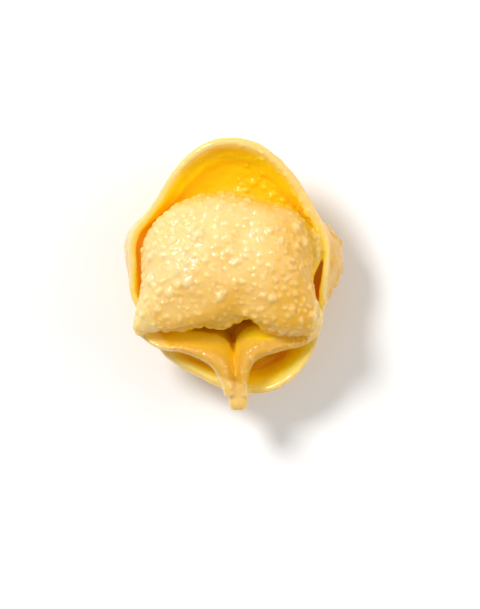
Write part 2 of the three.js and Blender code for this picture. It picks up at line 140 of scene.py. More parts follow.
SWELLS = [
    {"x": -5.2, "y": 0.8, "reach": 3.6, "height": 0.7},
    {"x": 4.8, "y": 1.5, "reach": 4, "height": 0.45},
    {"x": 1.4, "y": 5.2, "reach": 2, "height": -0.5},
    {"x": 1.2, "y": -4.8, "reach": 2.4, "height": -0.7},
    {"x": -8.5, "y": -5.5, "reach": 2.6, "height": -0.2},
    {"x": 8.8, "y": -5.2, "reach": 2.6, "height": -0.35},
]

# ---- Tips: a row has the fold's outer edge x, y, its inner edge x, y, and their two heights ----
LEFT_TIP = [
    (-12.95, -8.2, -12.0, -7.6, 12.2, 11.9),
    (-10.4, -10.0, -9.9, -9.0, 12.9, 12.4),
    (-6.2, -10.8, -6.0, -9.0, 14.0, 13.3),
    (-2.9, -12.6, -1.2, -10.1, 14.6, 13.0),
    (-1.7, -14.7, 0.25, -13.1, 14.3, 12.8),
    (-1.15, -16.5, 0.8, -16.35, 13.4, 12.6),
]
RIGHT_TIP = [
    (11.6, -8.05, 10.7, -7.6, 12.2, 11.9),
    (9.6, -9.6, 9.2, -8.4, 13.1, 12.7),
    (6.2, -10.5, 5.4, -8.0, 14.1, 13.4),
    (2.9, -11.8, 1.2, -9.2, 14.7, 13.3),
    (1.95, -14.2, 0.4, -13.3, 14.5, 13.1),
    (2.05, -16.6, 0.9, -16.5, 13.4, 12.6),
]
TIP_ROOT = 1.2
PINCH_BASE = 8.5
FOLD_CREST = 0.3
FOLD_SHOULDER = 0.9
INNER_DROP = 0.9
INNER_LEAN = 0.5
OUTER_LEAN = 0.3
VALLEY_REACH = 2.6

# ---- Foot ----
FOOT_START = np.array([0.7, -15.2, 11.1])
FOOT_END = np.array([0.72, -18.5, 10.8])
FOOT_HALF_WIDTH = 1.38
FOOT_HALF_HEIGHT = 1.95
FOOT_SQUARENESS = 0.6
FOOT_END_SIZE = 0.45

# ---- Finger hole: pressed shut half way down, with a navel behind ----
PLUG_HALF_LENGTH = 10.5
PLUG_HALF_WIDTH = 7
PLUG_SHOULDER = 5.2
PLUG_TOP = 8.6
PLUG_TOP_RADIUS = 2.8
PLUG_LOWER = 0.9
NAVEL_AT = np.array([0.6, -6.5])
NAVEL_DEPTH = 4.5
NAVEL_HALF_LENGTH = 4.2
NAVEL_HALF_WIDTH = 2.4
NAVEL_BOTTOM = 0.2

# ---- Collar: the dough that slopes from the brim's wall down to the seam round the belly ----
COLLAR_AT = {"angle": 108, "width": 110}
COLLAR_FLOOR = 1.5
COLLAR_SEAM = 9.8
COLLAR_BELOW_EDGE = 2.8
COLLAR_SLOPE = [(0, 1), (1, 0.57), (2.2, 0.23), (3.6, 0)]  # distance from the wall, share of the way up

# ---- How deep each piece is sunk in the cup's wall ----
BELLY_SUNK = 0.5
PLUG_SUNK = 0.8
TIP_SUNK = 0.95
COLLAR_SUNK = 0.65

# ---- Blisters: the solid's own, and the finer ones between them ----
BLISTERS = {"count": 46, "seed": 11, "radius": (0.42, 0.95), "apart": 1.9, "end": 0.95, "skew": 3}
SMALL_BLISTERS = {"count": 165, "seed": 5, "radius": (0.36, 0.78), "apart": 1.0, "end": 0.99, "skew": 2}
FINE_BLISTERS = {"count": 120, "seed": 23, "radius": (0.26, 0.38), "apart": 0.6, "end": 0.99, "skew": 1}
CROWDED_AT = [
    # where on the belly the small ones stand closer together
    {"x": -9, "y": -4, "reach": 4},
    {"x": 8.3, "y": -4.5, "reach": 3.5},
    {"x": 8, "y": 3, "reach": 3.5},
    {"x": 0, "y": 8, "reach": 3.5},
    {"x": -6, "y": 6, "reach": 4},
]
ELSEWHERE = 0.6  # share of the small ones that stay away from all other spots
SATELLITES = {"seed": 17, "share": 0.55, "size": (0.45, 0.8), "off": 0.9}  # smaller ones on others' sides
FEW_LARGE = 2  # power of a draw for a radius: the higher, the fewer large ones
WARP = {"seed": 1, "size": 1.0, "by": 0.3}  # how far blisters are out of round
HOOD_BLISTERS = {"count": 110, "seed": 7, "radius": (0.25, 0.7), "angle": (8, 88)}
SEAM_BEADS = {"count": 26, "radius": 0.22, "angle": (92, 140)}  # along the inner layer's cut edge
CHEEK_BLISTERS = {"count": 60, "seed": 9, "radius": (0.4, 0.9), "angle": (-50, 25), "below": (0.5, 9)}
CHEEK_BUMPS = {"count": 6, "radius": 0.95, "angle": (-36, -2)}  # the uneven outline of the right cheek
CREST_BLISTERS = {"seed": 13, "radius": (0.2, 0.42), "along": (0.08, 0.92), "across": (0.05, 0.75)}
LEFT_CREST_COUNT = 34
RIGHT_CREST_COUNT = 46
LIP_SCALLOPS = {"seed": 3, "radius": (0.45, 0.8), "apart": (0.8, 1.5), "share": 0.985}
WET_RIDGES = [(-5.5, 0.1), (-2.4, -0.3), (-7.2, -1.9)]  # middles of three short raised folds
RIDGE_RADIUS = 0.62
WRINKLES = {"x": -7.2, "y": 1.3, "reach": 2.2, "size": 0.8, "depth": 0.8}
WRINKLED_OVER = 1  # over how much height above the belly's outline the wrinkles set in
LUMPS = {"size": 2.6, "depth": 0.35, "height": (1, 4)}
DOME_EDGE = 1.2  # power that shapes a blister, 0.5 for a ball
BROAD_HEIGHT = 0.42  # height of the broad blisters and scallops, as a share of their radius
PALE_FROM = 0.6  # radius from which a blister is fully pale
WEIGHTLESS = 1e-4

# ---- Joins: rounds of smoothing, more where the dough runs together deep in the cup ----
SKIN_SMOOTHING = 4
HOLLOW_SMOOTHING = 30
HOLLOW_INSIDE = (0.5, 1.2)  # from the brim's outer wall
HOLLOW_BELOW_EDGE = (2.6, 3.6)
FACES_DOWN = -0.3  # height of a normal that counts as the back's

# ---- Rays that tell how open a spot lies ----
RAYS = 24
RAY_REACH = 9
RAY_START = 0.15  # over the skin
ACROSS = (0.36, 0.48, 0.8)  # any way that few normals share

# ---- Colour: pairs run from where a tint isn't to where it is full ----
PAINTED_SHADE_WHERE_LIT = (0.9, 0.42)  # painted shade: cosine of the angle to the key light
PAINTED_GLOW_WHERE_LIT = (0, -0.45)  # and the same where the key light shines on the wall's other side, for the painted glow
TIPS_PAINTED_SHADE = 0.8  # how much painted shade the tips get at least
TIPS_Y = (-8, -9)
TIPS_Z = (11, 12.5)
CUT_EDGE_INSIDE = (SEAM + 0.5, SEAM)  # from the brim's outer wall
CUT_EDGE_BELOW = (0.7, 0.1)  # under the brim's edge
OUTER_SKIN_INSIDE = (0.6, 0.2)
INNER_SKIN_INSIDE = (0.9 * SEAM, 1.1 * SEAM)
WALL_INSIDE = (2 * SEAM, 1.3 * SEAM)
WALL_Y = (-8, -5)
PAST_BELLY = (-0.1, 0.4)  # out from the belly's outline
ABOVE_LIP_Y = (-7, -5)

# ---- Studio: ways point to the lights; sizes and distances are in metres ----
FLOOR_SIZE = 3
KEY_WAY = (-0.42, 0.38, 0.82)
KEY_DISTANCE = 0.48
KEY_SIZE = 0.13
FILL_WAY = (0.75, 0.15, 0.6)
FILL_DISTANCE = 0.5
FILL_SIZE = 0.4
PIXELS_HIGH = 609
PIXEL = 0.135 * MM
VIEW_PLANE = 0.007  # height at which a pixel shows just that
VIEW_HEIGHT = PIXELS_HIGH * PIXEL
VIEW_MIDDLE = (0.00088, -0.00406)


def lobe(angle, at):
    """1 at the angle of a feature and 0 away from it, in degrees."""
    off = (angle - at["angle"] + 180) % 360 - 180
    return np.exp(-((off / at["width"]) ** 2))


def near(x, y, at):
    """1 at the spot of a feature and 0 beyond its reach."""
    return np.exp(-((x - at["x"]) ** 2 + (y - at["y"]) ** 2) / at["reach"] ** 2)


def smoothstep(value, start, end):
    """A smooth rise from 0 at the start to 1 at the end, which may be the lower one."""
    share = np.clip((value - start) / (end - start), 0, 1)
    return share * share * (3 - 2 * share)


def mixed(a, b, share):
    return a + (b - a) * share


def compass(count):
    """Angles of a full turn, in degrees."""
    return np.arange(count) * 360 / count


def brim_outside(angle):
    """The outer side of the brim from the flat spot to its cut edge: radii and heights, a column an angle."""
    left = lobe(angle, LEFT_CURL)
    right = lobe(angle, RIGHT_CURL)
    reach = BRIM_REACH + sum(at["swell"] * lobe(angle, at) for at in [CROWN, CHIN, *CHEEKS])
    edge_height = BRIM_HEIGHT + sum(at["rise"] * lobe(angle, at) for at in BRIM_RISES)
    wall = reach - FLARE * np.clip(1 - left - right, 0, 1)
    edge = reach - LEFT_CURL["reach"] * left - RIGHT_CURL["reach"] * right
    wall_height = WIDEST_AT * edge_height
    turn = np.linspace(0, 0.94, 24)[:, None] * math.pi / 2
    step_foot = edge_height - STEP_BELOW_EDGE - STEP_RUN
    heights = np.concatenate([
        mixed(wall_height, step_foot, np.linspace(0, 1, 16)[:, None]),
        edge_height - np.linspace(STEP_BELOW_EDGE, 0, 6)[:, None],
    ])
    along = (heights - wall_height) / (edge_height - wall_height)
    radius = np.concatenate([mixed(FOOT_RADIUS, wall, np.sin(turn)), mixed(wall, edge, along ** 2)])
    height = np.concatenate([wall_height * (1 - np.cos(turn)), heights])
    return radius, height


def brim_inside(angle):
    """The inner side, set in from the outer one by the thickness of the dough."""
    outside = np.stack(brim_outside(angle))
    along = np.gradient(outside, axis=1)
    along /= np.linalg.norm(along, axis=0)
    below = outside[1, -1] - outside[1]
    layer = 1 - smoothstep(below, STEP_BELOW_EDGE, STEP_BELOW_EDGE + STEP_RUN)
    pressed = sum(at["by"] * lobe(angle, at) * (1 - smoothstep(below, 0, at["run"])) for at in PRESSED)
    thinner = INNER_LAYER * lobe(angle, LAYER_STEP) * layer + pressed
    return outside + (SEAM - thinner) * np.stack([-along[1], along[0]])


def on_brim(radius, height, angle):
    """Points of the brim's profile, set out round the compass."""
    turn = np.radians(angle)
    x = BRIM_AT[0] + radius * np.cos(turn)
    y = BRIM_AT[1] + radius * np.sin(turn)
    return np.stack(np.broadcast_arrays(x, y, height), -1)


def kept_in_cup(points, sunk):
    """The points, or for those outside the cup, the spots beside them sunk that far in its wall."""
    out = points[:, :2] - BRIM_AT
    radius, height = brim_outside(np.degrees(np.arctan2(out[:, 1], out[:, 0])))
    wall = np.array([
        np.interp(z, height[:, k], radius[:, k]) for k, z in enumerate(points[:, 2])
    ])
    overhang = OVERHANG * np.maximum(0, points[:, 2] - height[-1])
    length = np.linalg.norm(out, axis=1)
    kept = np.minimum(length, wall - SEAM + sunk + overhang)
    at = BRIM_AT + out * (kept / length)[:, None]
    return np.column_stack([at, points[:, 2]])


def brim():
    """The brim and the back as one thick cup."""
    angle = compass(240)
    outside = np.stack(brim_outside(angle))
    inside = brim_inside(angle)
    outer, inner = outside[:, -1], inside[:, -1]
    across = CUT_ROUND * (inner - outer) / np.linalg.norm(inner - outer, axis=0)
    down = np.stack([-across[1], across[0]])
    cut = np.stack([outer + down, outer + across, inner - across, inner + down], 1)
    profile = np.concatenate([outside[:, :-1], cut, inside[:, -2::-1]], 1)
    return on_brim(profile[0], profile[1], angle)


def curve_through(points, count, closed):
    """A smooth curve through points, spaced evenly where it is closed, as both ends of a fold differ."""
    points = np.array(points, float)
    if closed:
        padded = np.concatenate([points[-1:], points, points[:2]])
    else:
        padded = np.concatenate([[2 * points[0] - points[1]], points, [2 * points[-1] - points[-2]]])
    steps = np.linalg.norm(np.diff(padded, axis=0), axis=1) ** 0.5
    runs = len(padded) - 3
    share = np.linspace(0, runs, (50 * runs if closed else count - 1) + 1)
    k = np.minimum(share.astype(int), runs - 1)
    t = (share - k)[:, None]
    before, run, after = (steps[k + i][:, None] for i in range(3))
    p0, p1, p2, p3 = (padded[k + i] for i in range(4))
    start = ((p1 - p0) / before - (p2 - p0) / (before + run) + (p2 - p1) / run) * run
    end = ((p2 - p1) / run - (p3 - p1) / (run + after) + (p3 - p2) / after) * run
    curve = (
        (2 * t ** 3 - 3 * t ** 2 + 1) * p1
        + (t ** 3 - 2 * t ** 2 + t) * start
        + (3 * t ** 2 - 2 * t ** 3) * p2
        + (t ** 3 - t ** 2) * end
    )
    if not closed:
        return curve
    length = np.concatenate([[0], np.cumsum(np.linalg.norm(np.diff(curve, axis=0), axis=1))])
    even = np.linspace(0, length[-1], count + 1)[1:]
    return np.column_stack([np.interp(even, length, curve[:, axis]) for axis in range(points.shape[1])])


outline = curve_through(BELLY_OUTLINE, 240, closed=True) - BELLY_MIDDLE
outline_angle = np.arctan2(outline[:, 1], outline[:, 0])
outline_reach = np.linalg.norm(outline, axis=1)


def evened_reach(share):
    """The reach of the ring at that share, before it is scaled, with its corners rounded off further in."""
    over = EVENED_OVER * (1 - share ** CORNERS_FROM)
    if over == 0:
        return outline_reach
    apart = np.abs((outline_angle[:, None] - outline_angle + math.pi) % (2 * math.pi) - math.pi)
    weight = np.exp(-((apart / over) ** 2))
    return weight @ outline_reach / weight.sum(1)


def belly_ring(share):
    """A ring of the belly's front, from its middle at share 0 to its outline at share 1."""
    return BELLY_MIDDLE + outline * (share * evened_reach(share) / outline_reach)[:, None]


ring_shares = np.linspace(0, 1, 61)
ring_reaches = np.array([share * evened_reach(share) for share in ring_shares])


def belly_share(x, y):
    """The share of the ring that runs through a point, which past the outline goes on growing."""
    out = np.array([x, y]) - BELLY_MIDDLE
    angle = math.atan2(out[1], out[0])
    reaches = [np.interp(angle, outline_angle, ring, period=2 * math.pi) for ring in ring_reaches]
    length = np.linalg.norm(out)
    if length > reaches[-1]:
        return length / reaches[-1]
    return float(np.interp(length, reaches, ring_shares))


def belly_rim(x, y):
    """Height of the belly's outline: higher along the lip, lower where its corners are pinched."""
    return BELLY_RIM + sum(at["height"] * near(x, y, at) for at in [LIP_RISE, *CORNER_DIPS])


def belly_height(x, y, share):
    """Height of the belly's front over a point on the ring of that share."""
    rise = np.clip(1 - share ** BELLY_SQUARENESS, 0, 1) ** BELLY_ROUNDNESS
    swell = sum(at["height"] * near(x, y, at) for at in SWELLS)
    return mixed(belly_rim(x, y), BELLY_TOP, rise) + swell * rise


def belly():
    """The filled pocket: a pillow over its outline, turned back under itself along its lower lip."""
    angle = np.degrees(outline_angle)
    rings = []
    for t in np.linspace(0, 0.97, 24):
        tuck = mixed(SIDE_TUCK, LIP_TUCK["depth"], lobe(angle, LIP_TUCK))
        cheek = CHEEK["bulge"] * lobe(angle, CHEEK) * math.sin(math.pi * t ** CHEEK["power"])
        reach = outline_reach - tuck * smoothstep(1 - t, 0, 0.65) + cheek
        at = BELLY_MIDDLE + outline * (reach / outline_reach)[:, None]
        height = mixed(BELLY_FLOOR, belly_rim(*at.T), 1 - (1 - t) ** 1.3)
        rings.append(kept_in_cup(np.column_stack([at, height]), BELLY_SUNK))
    for turn in np.linspace(0, math.pi / 2, 60, endpoint=False):
        share = math.cos(turn) ** 0.82
        at = belly_ring(share)
        rings.append(np.column_stack([at, belly_height(*at.T, share)]))
    return rings


def tip(rows):
    """One folded tip: a ridge with a round fold, upright outside and sloping in to the finger hole."""
    steps = 81
    rows = np.array(rows)
    outer = curve_through(rows[:, [0, 1, 4]], steps, closed=False)
    inner = curve_through(rows[:, [2, 3, 5]], steps, closed=False)
    shares = np.concatenate([FOLD_CREST * np.linspace(0, 0.9, 7) ** 1.5, np.linspace(FOLD_CREST, 1, 12)])
    off = np.where(shares < FOLD_CREST, 1 - shares / FOLD_CREST, (shares - FOLD_CREST) / (1 - FOLD_CREST))
    rings = []
    for t, start, across in zip(np.linspace(0, 1, steps), outer, inner - outer):
        drop = -across[2]
        width = np.linalg.norm(across[:2])
        inward = np.array([across[0], across[1], 0]) / width
        base = mixed(TIP_ROOT, PINCH_BASE, smoothstep(t, 0.5, 0.95)) - start[2]
        valley = VALLEY_REACH * smoothstep(t, -0.3, 0.3) * (1 - smoothstep(t, 0.5, 0.75))
        fold = np.where(shares < FOLD_CREST, -FOLD_SHOULDER * off ** 2.5, -drop * off ** 2)
        outside = [(OUTER_LEAN, base), (0.6 * OUTER_LEAN, 0.75 * base), (0.4 * OUTER_LEAN, 0.5 * base)]
        inside = [
            (width + 0.7 * INNER_LEAN + 0.4 * valley, -drop - INNER_DROP),
            (width + 0.8 * INNER_LEAN + valley, 0.5 * (base - INNER_LEAN)),
            (width + INNER_LEAN + valley, base),
        ]
        section = np.array([*outside, *zip(shares * width, fold), *inside])
        ring = start + section[:, :1] * inward + section[:, 1:] * np.array([0, 0, 1])
        hidden = np.r_[0:3, len(ring) - 3:len(ring)]
        ring[hidden] = kept_in_cup(ring[hidden], TIP_SUNK)
        rings.append(ring)
    return rings


def foot():
    """The flat end of the pinch: a rounded bar that closes at its end."""
    turn = np.radians(compass(60))
    across = FOOT_HALF_WIDTH * np.sign(np.cos(turn)) * np.abs(np.cos(turn)) ** FOOT_SQUARENESS
    up = FOOT_HALF_HEIGHT * np.sign(np.sin(turn)) * np.abs(np.sin(turn)) ** FOOT_SQUARENESS
    section = np.column_stack([across, np.zeros_like(turn), up])
    return [
        mixed(FOOT_START, FOOT_END, t) + section * mixed(FOOT_END_SIZE, 1, (1 - t ** 6) ** 0.5)
        for t in np.linspace(0, 1, 16) ** 0.6
    ]


def plug():
    """The pressed dough that closes the finger hole and joins the tips to the back."""
    turn = np.radians(compass(96))
    sizes = [(PLUG_HALF_LENGTH, PLUG_HALF_WIDTH, mixed(BELLY_FLOOR, PLUG_SHOULDER, t ** 1.5))
             for t in np.linspace(0, 1, 12)]
    sizes.append((PLUG_TOP_RADIUS, PLUG_TOP_RADIUS, PLUG_TOP))
    rings = []
    for length, width, height in sizes:
        x = NAVEL_AT[0] + length * np.cos(turn)
        y = NAVEL_AT[1] - PLUG_LOWER + width * np.sin(turn)
        rings.append(kept_in_cup(np.column_stack([x, y, np.full_like(x, height)]), PLUG_SUNK))
    return rings


def collar():
    """The ring of dough that fills the cup up to the seam, all round the belly but for its lip."""
    angle = compass(180)
    full = 1 - (1 - lobe(angle, COLLAR_AT)) ** 4
    seam = mixed(COLLAR_FLOOR, COLLAR_SEAM, full)
    start = mixed(COLLAR_FLOOR, brim_outside(angle)[1][-1] - COLLAR_BELOW_EDGE, full)

    def ring(inset, height):
        wall = kept_in_cup(on_brim(2 * BRIM_REACH, height, angle), COLLAR_SUNK)
        out = wall[:, :2] - BRIM_AT
        length = np.linalg.norm(out, axis=1)
        return np.column_stack([BRIM_AT + out * ((length - inset) / length)[:, None], height])

    walls = [ring(0, mixed(BELLY_FLOOR, start, t ** 1.5)) for t in np.linspace(0, 1, 12, endpoint=False)]
    insets, ups = zip(*COLLAR_SLOPE)
    return walls + [
        ring(inset, mixed(seam, start, np.interp(inset, insets, ups)))
        for inset in np.linspace(0, insets[-1], 13)
    ]


def select_only(*pieces):
    bpy.ops.object.select_all(action="DESELECT")
    for piece in pieces:
        piece.select_set(True)
    bpy.context.view_layer.objects.active = pieces[0]


def apply_modifier(piece, kind, **settings):
    """Adds one modifier with its settings and applies it."""
    select_only(piece)
    bpy.ops.object.modifier_add(type=kind)
    modifier = piece.modifiers[-1]
    for name, value in settings.items():
        setattr(modifier, name, value)
    bpy.ops.object.modifier_apply(modifier=modifier.name)


def loft(name, rings):
    """A closed skin over rings of points: a circle extruded ring by ring, then capped."""
    rings = np.array(rings)
    bpy.ops.object.select_all(action="DESELECT")
    bpy.ops.mesh.primitive_circle_add(vertices=rings.shape[1], radius=1)
    piece = bpy.context.object
    piece.name = name
    bpy.ops.object.mode_set(mode="EDIT")
    bpy.ops.mesh.select_all(action="SELECT")
    for _ in rings[1:]:
        bpy.ops.mesh.extrude_edges_move(TRANSFORM_OT_translate={"value": (0, 0, 1)})
    bpy.ops.object.mode_set(mode="OBJECT")
    piece.data.vertices.foreach_set("co", rings.ravel())
    bpy.ops.object.mode_set(mode="EDIT")
    bpy.ops.mesh.select_mode(type="EDGE")
    bpy.ops.mesh.select_all(action="DESELECT")
    bpy.ops.mesh.select_non_manifold()
    bpy.ops.mesh.edge_face_add()
    bpy.ops.mesh.select_all(action="SELECT")
    bpy.ops.mesh.normals_make_consistent(inside=False)
    bpy.ops.object.mode_set(mode="OBJECT")
    return piece


def coordinates(piece):
    points = np.empty((len(piece.data.vertices), 3))
    piece.data.vertices.foreach_get("co", points.ravel())
    return points


def vertex_normals(piece):
    normals = np.empty((len(piece.data.vertices), 3))
    piece.data.vertex_normals.foreach_get("vector", normals.ravel())
    return normals


def displace(piece, name, weights, **settings):
    """Moves the vertices by a Displace modifier, each by its weight's share of it, and applies it."""
    group = piece.vertex_groups.new(name=name)
    for k in np.flatnonzero(weights > WEIGHTLESS):
        group.add([int(k)], float(weights[k]), "REPLACE")
    apply_modifier(piece, "DISPLACE", vertex_group=name, **settings)


def raise_by(piece, name, heights, direction="NORMAL"):
    """Moves each vertex out by its own height."""
    most = float(heights.max())
    displace(piece, name, heights / most, direction=direction, strength=most, mid_level=0)


def roughen(piece, name, weights, size, depth):
    """Raises and sinks the skin by clouds of that size."""
    clouds = bpy.data.textures.new(name, "CLOUDS")
    clouds.noise_scale = size
    displace(piece, name, weights, texture=clouds, texture_coords="LOCAL", strength=depth, mid_level=0.5)


class Draws:
    """Seeded draws from 0 to 1, the same on every run."""

    def __init__(self, seed):
        self.state = seed

    def __call__(self):
        self.state = (self.state * 1664525 + 1013904223) % 2 ** 32
        return self.state / 2 ** 32


def over_belly(x, y, share):
    """The point of the belly's front over x, y."""
    return np.array([x, y, belly_height(x, y, share)])


def belly_spots(kind, taken=(), crowded_at=()):
    """Spots on the belly's front with their radii, clear of each other and of those taken."""
    draw = Draws(kind["seed"])
    spots = []
    while len(spots) < kind["count"]:
        x = mixed(-BRIM_REACH, BRIM_REACH, draw())
        y = mixed(-BRIM_REACH, BRIM_REACH, draw())
        radius = mixed(*kind["radius"], draw() ** kind["skew"])
        share = belly_share(x, y)
        if share > kind["end"]:
            continue
        at = over_belly(x, y, share)
        if any(math.dist(other, at) < kind["apart"] for other, _ in [*taken, *spots]):
            continue
        if crowded_at and draw() < ELSEWHERE * (1 - max(near(x, y, spot) for spot in crowded_at)):
            continue
        spots.append((at, radius))
    return spots


def satellites(spots):
    """A smaller spot on the side of some, so that the two run together."""
    draw = Draws(SATELLITES["seed"])
    found = []
    for at, radius in spots:
        turn = 2 * math.pi * draw()
        size = radius * mixed(*SATELLITES["size"], draw())
        x, y = at[:2] + SATELLITES["off"] * radius * np.array([math.cos(turn), math.sin(turn)])
        if draw() < SATELLITES["share"]:
            found.append((over_belly(x, y, belly_share(x, y)), size))
    return found


def lip_spots():
    """Spots a little apart along the belly's outline."""
    draw = Draws(LIP_SCALLOPS["seed"])
    share = LIP_SCALLOPS["share"]
    ring = belly_ring(share)
    length = np.cumsum(np.linalg.norm(ring - np.roll(ring, 1, axis=0), axis=1))
    spots = []
    along = 0
    while along < length[-1]:
        x, y = ring[int(np.searchsorted(length, along))]
        spots.append((over_belly(x, y, share), mixed(*LIP_SCALLOPS["radius"], draw())))
        along += mixed(*LIP_SCALLOPS["apart"], draw())
    return spots


def ridge_spots():
    """Three spots in a row for each short fold."""
    steps = RIDGE_RADIUS * np.array([-0.8, 0, 0.8])
    return [
        (over_belly(x, y + step, belly_share(x, y + step)), RIDGE_RADIUS)
        for x, y in WET_RIDGES for step in steps
    ]


def hood_spots(skin):
    """Spots on what shows of the hood from above, between the belly and the brim's edge."""
    draw = Draws(HOOD_BLISTERS["seed"])
    spots = []
    for _ in range(HOOD_BLISTERS["count"]):
        angle = mixed(*HOOD_BLISTERS["angle"], draw())
        turn = math.radians(angle)
        belly_end = np.interp(turn, outline_angle, outline_reach, period=2 * math.pi)
        brim_end = brim_inside(np.array([angle]))[0, -1, 0]
        reach = mixed(belly_end, brim_end, draw())
        above = on_brim(reach, 2 * BELLY_TOP, angle)
        at = skin.ray_cast(Vector(above), Vector((0, 0, -1)))[0]
        spots.append((np.array(at), mixed(*HOOD_BLISTERS["radius"], draw() ** FEW_LARGE)))
    return spots


def on_wall(angle, below, side):
    """The point of the brim's wall that far below its edge."""
    radius, height = side(np.array([angle]))
    z = height[-1, 0] - below
    return on_brim(np.interp(z, height[:, 0], radius[:, 0]), z, angle)


def seam_spots():
    """A row of tiny beads along the inner layer's cut edge."""
    angles = np.linspace(*SEAM_BEADS["angle"], SEAM_BEADS["count"])
    below = STEP_BELOW_EDGE + STEP_RUN / 2
    return [(on_wall(angle, below, brim_inside), SEAM_BEADS["radius"]) for angle in angles]


def cheek_spots():
    """Spots on the outside of the right cheek, and a row of bumps on its outline."""
    draw = Draws(CHEEK_BLISTERS["seed"])
    spots = []
    for _ in range(CHEEK_BLISTERS["count"]):
        angle = mixed(*CHEEK_BLISTERS["angle"], draw())
        at = on_wall(angle, mixed(*CHEEK_BLISTERS["below"], draw()), brim_outside)
        spots.append((at, mixed(*CHEEK_BLISTERS["radius"], draw() ** FEW_LARGE)))
    for angle in np.linspace(*CHEEK_BUMPS["angle"], CHEEK_BUMPS["count"]):
        height = brim_outside(np.array([angle]))[1][-1, 0]
        spots.append((on_wall(angle, (1 - WIDEST_AT) * height, brim_outside), CHEEK_BUMPS["radius"]))
    return spots


def crest_spots():
    """Spots along the crests of both tips."""
    draw = Draws(CREST_BLISTERS["seed"])
    spots = []
    steps = 101
    for rows, count in ((LEFT_TIP, LEFT_CREST_COUNT), (RIGHT_TIP, RIGHT_CREST_COUNT)):
        rows = np.array(rows)
        outer = curve_through(rows[:, [0, 1, 4]], steps, closed=False)
        inner = curve_through(rows[:, [2, 3, 5]], steps, closed=False)
        for _ in range(count):
            k = int(steps * mixed(*CREST_BLISTERS["along"], draw()))
            across = mixed(*CREST_BLISTERS["across"], draw())
            at = mixed(outer[k], inner[k], across)
            at[2] = mixed(outer[k, 2], inner[k, 2], max(0, across - FOLD_CREST) ** 2)
            spots.append((at, mixed(*CREST_BLISTERS["radius"], draw() ** FEW_LARGE)))
    return spots


def domes(piece, spots, height):
    """Height at each vertex of low domes a little out of round, each of them a share of its own radius."""
    points = coordinates(piece)
    tree = KDTree(len(points))
    noise.seed_set(WARP["seed"])  # or the clock would seed it, and no two runs would be the same
    for k, point in enumerate(map(Vector, points)):
        tree.insert(point + WARP["by"] * noise.noise_vector(point / WARP["size"]), k)
    tree.balance()
    total = np.zeros(len(points))
    for at, radius in spots:
        for _, k, off in tree.find_range(at, radius):
            total[k] = max(total[k], height * radius * (1 - (off / radius) ** 2) ** DOME_EDGE)
    return total


def evened_out(piece, values, rounds):
    """Values at the vertices, each averaged with its neighbours' that many times."""
    ends = np.empty(2 * len(piece.data.edges), np.int64)
    piece.data.edges.foreach_get("vertices", ends)
    a, b = ends.reshape(-1, 2).T
    count = np.bincount(ends, minlength=len(values))
    for _ in range(rounds):
        total = np.bincount(a, values[b], len(values)) + np.bincount(b, values[a], len(values))
        values = (values + total / count) / 2
    return values


def openness(piece):
    """How much of the half space before each vertex is open, from rays of a limited reach."""
    points, normals = coordinates(piece), vertex_normals(piece)
    tree = BVHTree.FromObject(piece, bpy.context.evaluated_depsgraph_get())
    turn = np.arange(RAYS) * math.pi * (3 - math.sqrt(5))
    flat = np.sqrt((np.arange(RAYS) + 0.5) / RAYS)
    local = np.column_stack([flat * np.cos(turn), flat * np.sin(turn), np.sqrt(1 - flat ** 2)])
    side = np.cross(normals, ACROSS)
    side /= np.linalg.norm(side, axis=1)[:, None]
    other = np.cross(normals, side)
    clear = np.zeros(len(points))
    starts = [Vector(p) for p in points + RAY_START * normals]
    for x, y, z in local:
        ways = x * side + y * other + z * normals
        clear += [tree.ray_cast(a, Vector(way), RAY_REACH)[0] is None for a, way in zip(starts, ways)]
    return evened_out(piece, clear / RAYS, rounds=6)


def set_attribute(piece, name, values):
    attribute = piece.data.attributes.new(name, "FLOAT", "POINT")
    attribute.data.foreach_set("value", values.astype(np.float32))


def beside_brim(points):
    """How far each point lies inside the brim's outer wall, and how far below its edge."""
    out = points[:, :2] - BRIM_AT
    radius, height = brim_outside(np.degrees(np.arctan2(out[:, 1], out[:, 0])))
    wall = np.array([np.interp(z, height[:, k], radius[:, k]) for k, z in enumerate(points[:, 2])])
    return wall - np.linalg.norm(out, axis=1), height[-1] - points[:, 2]


def in_hollow(piece):
    """1 on what lies deep in the cup and 0 on the belly's front, the brim's edge and its outside."""
    inside, below = beside_brim(coordinates(piece))
    faces_up = vertex_normals(piece)[:, 2] > FACES_DOWN
    return faces_up * smoothstep(inside, *HOLLOW_INSIDE) * smoothstep(below, *HOLLOW_BELOW_EDGE)


def navel_depth(piece):
    """How far the back is pressed in at each point."""
    points = coordinates(piece)
    along, across = (points[:, :2] - NAVEL_AT).T
    off = np.hypot(along / NAVEL_HALF_LENGTH, across / NAVEL_HALF_WIDTH)
    share = 1 - np.sqrt(np.clip((off - NAVEL_BOTTOM) / (1 - NAVEL_BOTTOM), 0, 1))
    back = (vertex_normals(piece)[:, 2] < 0) & (points[:, 2] < NAVEL_DEPTH)
    return np.where(back, np.maximum(0, NAVEL_DEPTH * share - points[:, 2]), 0)


